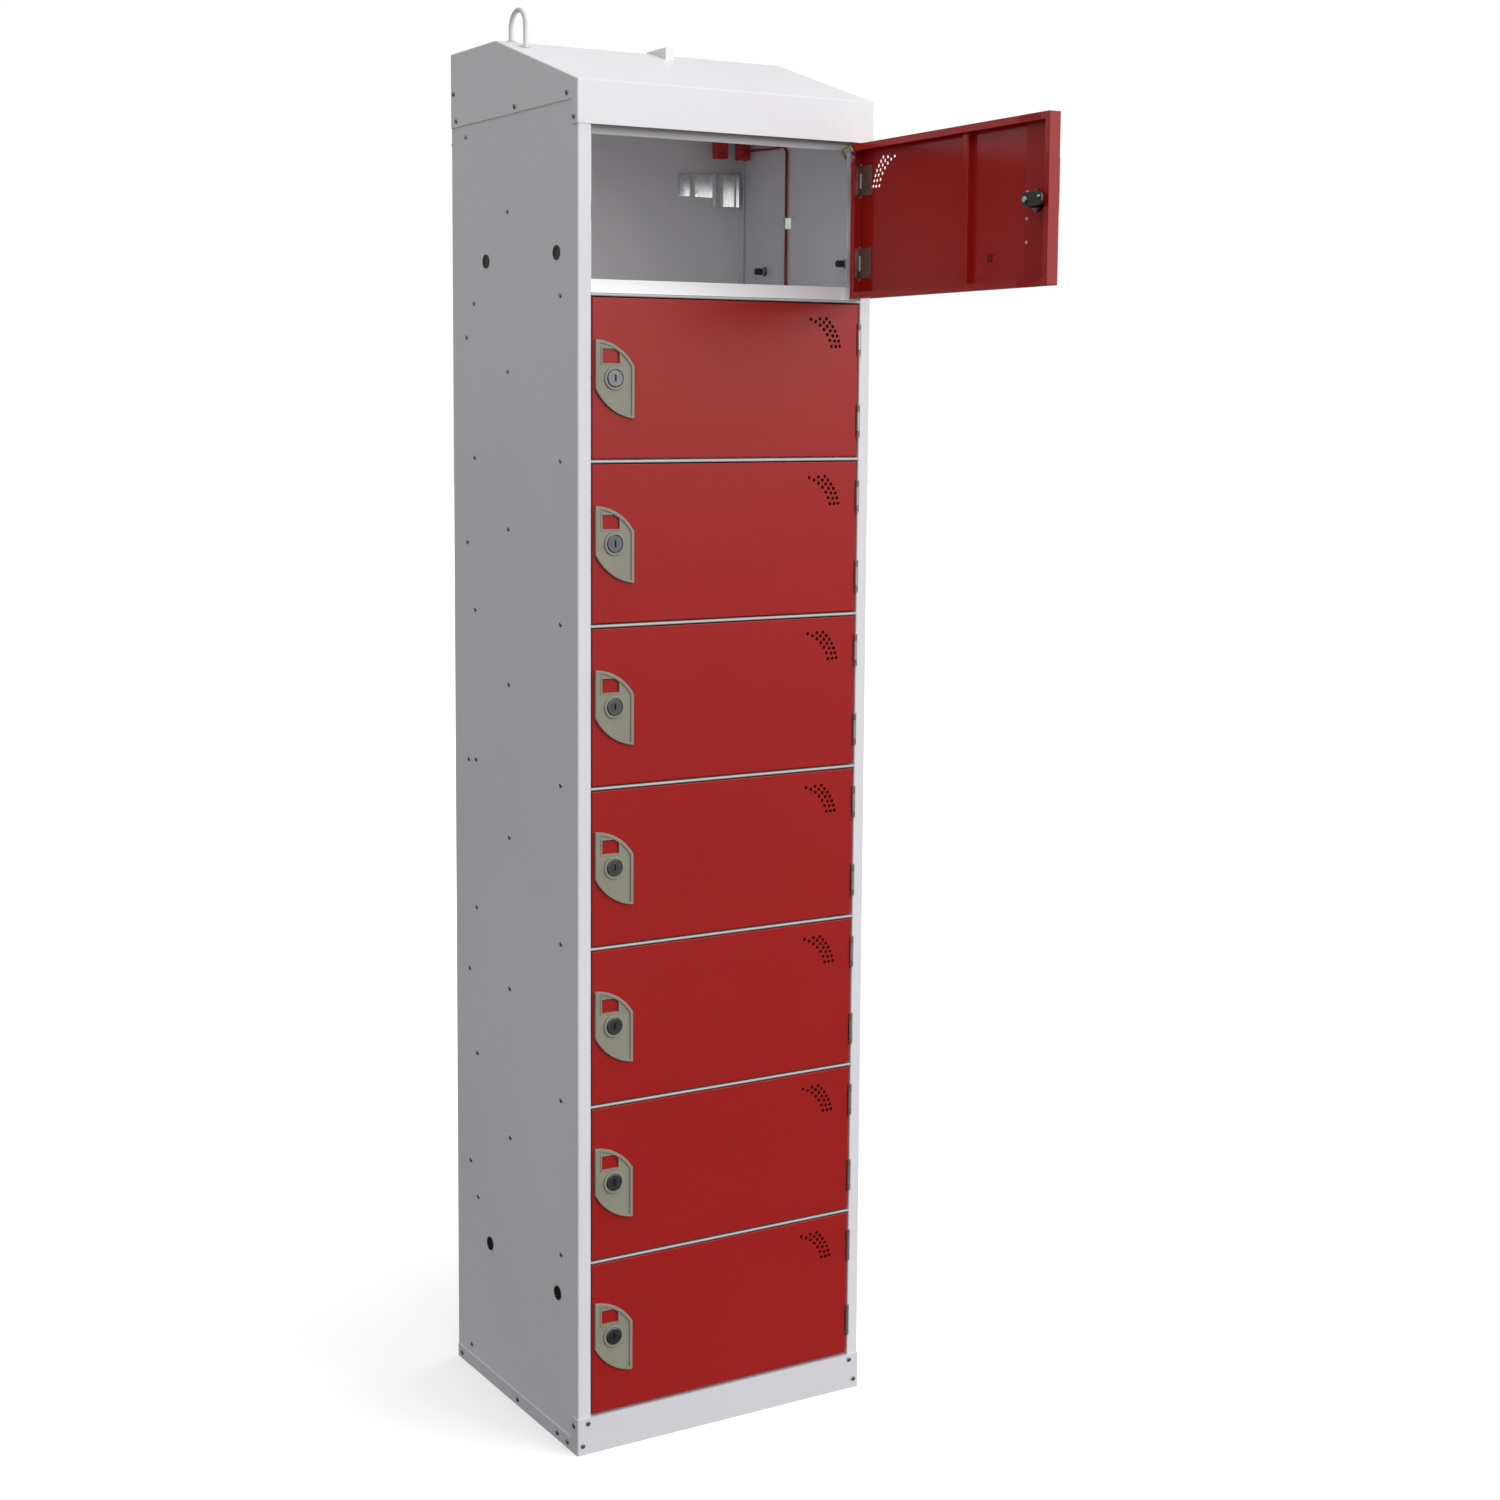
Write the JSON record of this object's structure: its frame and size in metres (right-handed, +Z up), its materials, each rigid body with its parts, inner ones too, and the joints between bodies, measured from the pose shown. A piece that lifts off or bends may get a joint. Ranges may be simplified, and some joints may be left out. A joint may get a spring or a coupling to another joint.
{
  "type": "phone charging locker",
  "caption": "Tall steel phone charging locker: a column of lockable hinged doors, each with a lock and vents, over powered compartments, with a sloping hood.",
  "frame": {"origin": "centre of the carcass footprint (460 x 380 mm), on the floor", "axes": "+X to the right seen from the front, +Y to the back, +Z up; the doors face -Y"},
  "size_m": [0.4658, 0.8114, 1.959],
  "materials": {
    "carcass_paint": "fine satin powder coat, light grey",
    "liner_paint": "fine satin powder coat, light grey",
    "hood_paint": "fine satin powder coat, off-white",
    "door_paint": "semi-gloss powder coat, red",
    "bezel_plastic": "fine-textured moulded plastic, grey-beige",
    "lock_chrome": "satin nickel plate",
    "cam_steel": "dark passivated steel",
    "hinge_steel": "zinc-plated",
    "rivet_steel": "zinc-plated",
    "bright_chrome": "bright plate",
    "black_rubber": "matt moulded rubber",
    "white_flex": "smooth PVC sheath, white",
    "grommet_plastic": "moulded nylon, white",
    "grey_plastic": "moulded ABS, grey",
    "earth_brass": "bright brass",
    "terminal_red": "moulded nylon, orange-red",
    "red_insulation": "PVC insulation, red"
  },
  "bodies": {
    "root": {"back_panel": "carcass_paint", "base_floor": "liner_paint", "base_plate": "liner_paint", "cable_loop": "white_flex", "case_rivets": "rivet_steel", "casing_screws": "rivet_steel", "charging_outlets": "bright_chrome", "earth_studs": "earth_brass", "false_back": "liner_paint", "hinge_frame_leaves": "hinge_steel", "hinge_pins": "hinge_steel", "hood_shell": "hood_paint", "left_side_panel": "carcass_paint", "loop_grommets": "grommet_plastic", "nesting_hole_plugs": "black_rubber", "outlet_brackets": "bright_chrome", "outlet_screws": "bright_chrome", "plinth": "hood_paint", "power_distribution_box": "grey_plastic", "power_riser": "red_insulation", "rear_cable_bung": "black_rubber", "ridge_bracket": "hood_paint", "right_side_panel": "carcass_paint", "riser_clips": "bright_chrome", "shelves": "liner_paint", "terminal_blocks": "terminal_red", "top_deck": "liner_paint"},
    "door_1": {"door_1": "door_paint", "door_1_lock_bezel": "bezel_plastic", "door_1_lock_barrel": "lock_chrome"},
    "lock_cam_1": {"door_1_lock_cam": "cam_steel"},
    "door_2": {"door_2": "door_paint", "door_2_lock_bezel": "bezel_plastic", "door_2_lock_barrel": "lock_chrome"},
    "lock_cam_2": {"door_2_lock_cam": "cam_steel"},
    "door_3": {"door_3": "door_paint", "door_3_lock_bezel": "bezel_plastic", "door_3_lock_barrel": "lock_chrome"},
    "lock_cam_3": {"door_3_lock_cam": "cam_steel"},
    "door_4": {"door_4": "door_paint", "door_4_lock_bezel": "bezel_plastic", "door_4_lock_barrel": "lock_chrome"},
    "lock_cam_4": {"door_4_lock_cam": "cam_steel"},
    "door_5": {"door_5": "door_paint", "door_5_lock_bezel": "bezel_plastic", "door_5_lock_barrel": "lock_chrome"},
    "lock_cam_5": {"door_5_lock_cam": "cam_steel"},
    "door_6": {"door_6": "door_paint", "door_6_lock_bezel": "bezel_plastic", "door_6_lock_barrel": "lock_chrome"},
    "lock_cam_6": {"door_6_lock_cam": "cam_steel"},
    "door_7": {"door_7": "door_paint", "door_7_lock_bezel": "bezel_plastic", "door_7_lock_barrel": "lock_chrome"},
    "lock_cam_7": {"door_7_lock_cam": "cam_steel"},
    "door_8": {"door_8": "door_paint", "door_8_lock_bezel": "bezel_plastic", "door_8_lock_barrel": "lock_chrome"},
    "lock_cam_8": {"door_8_lock_cam": "cam_steel"}
  },
  "joints": [
    {"name": "door_1_hinge", "type": "hinge", "parent": "root", "child": "door_1", "pos_m": [0.2108, -0.1905, 1.6718], "axis": [0, 0, 1], "range_deg": [-90, 20]},
    {"name": "door_1_lock", "type": "hinge", "parent": "door_1", "child": "lock_cam_1", "pos_m": [0.1863, -0.5777, 1.6718], "axis": [-1, 0, 0], "range_deg": [0, 50]},
    {"name": "door_2_hinge", "type": "hinge", "parent": "root", "child": "door_2", "pos_m": [0.2108, -0.1905, 1.4558], "axis": [0, 0, 1], "range_deg": [0, 110]},
    {"name": "door_2_lock", "type": "hinge", "parent": "door_2", "child": "lock_cam_2", "pos_m": [-0.1764, -0.166, 1.4558], "axis": [0, 1, 0], "range_deg": [0, 50]},
    {"name": "door_3_hinge", "type": "hinge", "parent": "root", "child": "door_3", "pos_m": [0.2108, -0.1905, 1.2398], "axis": [0, 0, 1], "range_deg": [0, 110]},
    {"name": "door_3_lock", "type": "hinge", "parent": "door_3", "child": "lock_cam_3", "pos_m": [-0.1764, -0.166, 1.2398], "axis": [0, 1, 0], "range_deg": [0, 50]},
    {"name": "door_4_hinge", "type": "hinge", "parent": "root", "child": "door_4", "pos_m": [0.2108, -0.1905, 1.0238], "axis": [0, 0, 1], "range_deg": [0, 110]},
    {"name": "door_4_lock", "type": "hinge", "parent": "door_4", "child": "lock_cam_4", "pos_m": [-0.1764, -0.166, 1.0238], "axis": [0, 1, 0], "range_deg": [0, 50]},
    {"name": "door_5_hinge", "type": "hinge", "parent": "root", "child": "door_5", "pos_m": [0.2108, -0.1905, 0.8078], "axis": [0, 0, 1], "range_deg": [0, 110]},
    {"name": "door_5_lock", "type": "hinge", "parent": "door_5", "child": "lock_cam_5", "pos_m": [-0.1764, -0.166, 0.8078], "axis": [0, 1, 0], "range_deg": [0, 50]},
    {"name": "door_6_hinge", "type": "hinge", "parent": "root", "child": "door_6", "pos_m": [0.2108, -0.1905, 0.5918], "axis": [0, 0, 1], "range_deg": [0, 110]},
    {"name": "door_6_lock", "type": "hinge", "parent": "door_6", "child": "lock_cam_6", "pos_m": [-0.1764, -0.166, 0.5918], "axis": [0, 1, 0], "range_deg": [0, 50]},
    {"name": "door_7_hinge", "type": "hinge", "parent": "root", "child": "door_7", "pos_m": [0.2108, -0.1905, 0.3758], "axis": [0, 0, 1], "range_deg": [0, 110]},
    {"name": "door_7_lock", "type": "hinge", "parent": "door_7", "child": "lock_cam_7", "pos_m": [-0.1764, -0.166, 0.3758], "axis": [0, 1, 0], "range_deg": [0, 50]},
    {"name": "door_8_hinge", "type": "hinge", "parent": "root", "child": "door_8", "pos_m": [0.2108, -0.1905, 0.1598], "axis": [0, 0, 1], "range_deg": [0, 110]},
    {"name": "door_8_lock", "type": "hinge", "parent": "door_8", "child": "lock_cam_8", "pos_m": [-0.1764, -0.166, 0.1598], "axis": [0, 1, 0], "range_deg": [0, 50]}
  ]
}
